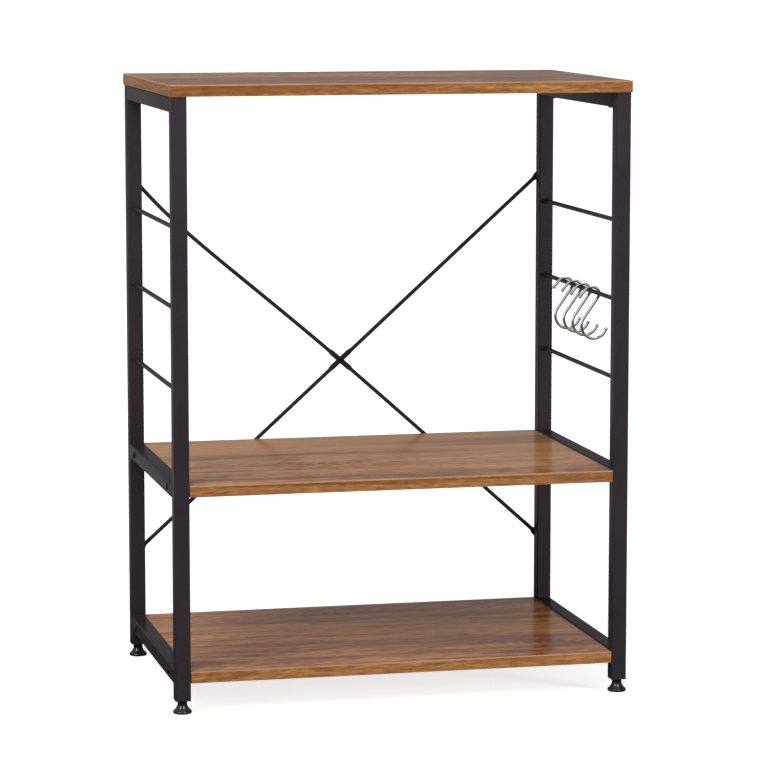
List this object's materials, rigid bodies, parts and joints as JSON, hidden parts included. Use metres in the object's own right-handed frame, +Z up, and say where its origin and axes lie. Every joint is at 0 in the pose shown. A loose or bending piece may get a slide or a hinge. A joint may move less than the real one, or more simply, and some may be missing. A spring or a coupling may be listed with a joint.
{
  "type": "bakers rack",
  "caption": "Open bakers rack with wood-grain boards between black square-tube side frames, a crossed rod brace, levelling feet and S hooks on a side rung.",
  "frame": {"origin": "on the floor, at the middle of the two side frames' width and depth", "axes": "+X to the right seen from the front, +Y to the back, +Z up"},
  "size_m": [0.615, 0.3957, 0.8026],
  "materials": {
    "coated_steel": "black powder coat, satin, slightly textured",
    "wood_board": "medium brown printed wood grain under a satin laminate",
    "edge_band": "warm brown wood-grain edge band, satin",
    "black_screw": "black oxide socket screws, semi-gloss",
    "foot_plastic": "glossy black moulded plastic",
    "plug_plastic": "plain black plastic",
    "bare_steel": "zinc-plated thread",
    "chrome": "bright polished wire"
  },
  "bodies": {
    "rack": {"left_front_post": "coated_steel", "left_rear_post": "coated_steel", "left_top_rail": "coated_steel", "left_middle_rail": "coated_steel", "left_lower_rail": "coated_steel", "left_rung_1": "coated_steel", "left_rung_2": "coated_steel", "left_rung_3": "coated_steel", "right_front_post": "coated_steel", "right_rear_post": "coated_steel", "right_top_rail": "coated_steel", "right_middle_rail": "coated_steel", "right_lower_rail": "coated_steel", "right_rung_1": "coated_steel", "right_rung_2": "coated_steel", "right_rung_3": "coated_steel", "top_board": "wood_board", "top_board_edge_band": "edge_band", "top_board_screw_left_front": "black_screw", "top_board_screw_left_rear": "black_screw", "top_board_screw_right_front": "black_screw", "top_board_screw_right_rear": "black_screw", "middle_board": "wood_board", "middle_board_edge_band": "edge_band", "middle_board_screw_left_front": "black_screw", "middle_board_screw_left_rear": "black_screw", "middle_board_screw_right_front": "black_screw", "middle_board_screw_right_rear": "black_screw", "lower_board": "wood_board", "lower_board_edge_band": "edge_band", "lower_board_screw_left_front": "black_screw", "lower_board_screw_left_rear": "black_screw", "lower_board_screw_right_front": "black_screw", "lower_board_screw_right_rear": "black_screw", "brace_rod_front": "coated_steel", "brace_rod_rear": "coated_steel", "brace_screw_upper_left": "black_screw", "brace_screw_upper_right": "black_screw", "brace_screw_lower_left": "black_screw", "brace_screw_lower_right": "black_screw", "brace_cross_bolt": "black_screw", "brace_cross_nut": "black_screw", "foot_plug_left_front": "plug_plastic", "foot_plug_left_rear": "plug_plastic", "foot_plug_right_front": "plug_plastic", "foot_plug_right_rear": "plug_plastic"},
    "left_front_foot": {"levelling_foot_left_front": "foot_plastic", "foot_stud_left_front": "bare_steel"},
    "left_rear_foot": {"levelling_foot_left_rear": "foot_plastic", "foot_stud_left_rear": "bare_steel"},
    "right_front_foot": {"levelling_foot_right_front": "foot_plastic", "foot_stud_right_front": "bare_steel"},
    "right_rear_foot": {"levelling_foot_right_rear": "foot_plastic", "foot_stud_right_rear": "bare_steel"},
    "hook_1": {"s_hook_1": "chrome"},
    "hook_2": {"s_hook_2": "chrome"},
    "hook_3": {"s_hook_3": "chrome"},
    "hook_4": {"s_hook_4": "chrome"}
  },
  "joints": [
    {"name": "left_front_foot_travel", "type": "slide", "parent": "rack", "child": "left_front_foot", "axis": [0, 0, -1], "range_m": [0, 0.01]},
    {"name": "left_rear_foot_travel", "type": "slide", "parent": "rack", "child": "left_rear_foot", "axis": [0, 0, -1], "range_m": [0, 0.01]},
    {"name": "right_front_foot_travel", "type": "slide", "parent": "rack", "child": "right_front_foot", "axis": [0, 0, -1], "range_m": [0, 0.01]},
    {"name": "right_rear_foot_travel", "type": "slide", "parent": "rack", "child": "right_rear_foot", "axis": [0, 0, -1], "range_m": [0, 0.01]},
    {"name": "hook_1_swing", "type": "hinge", "parent": "rack", "child": "hook_1", "pos_m": [0.29, 0.074, 0.517], "axis": [0, 1, 0], "range_deg": [-40, 40]},
    {"name": "hook_2_swing", "type": "hinge", "parent": "rack", "child": "hook_2", "pos_m": [0.29, 0.0316, 0.517], "axis": [0, 1, 0], "range_deg": [-40, 40]},
    {"name": "hook_3_swing", "type": "hinge", "parent": "rack", "child": "hook_3", "pos_m": [0.29, -0.0108, 0.517], "axis": [0, 1, 0], "range_deg": [-40, 40]},
    {"name": "hook_4_swing", "type": "hinge", "parent": "rack", "child": "hook_4", "pos_m": [0.29, -0.0532, 0.517], "axis": [0, 1, 0], "range_deg": [-40, 40]}
  ]
}
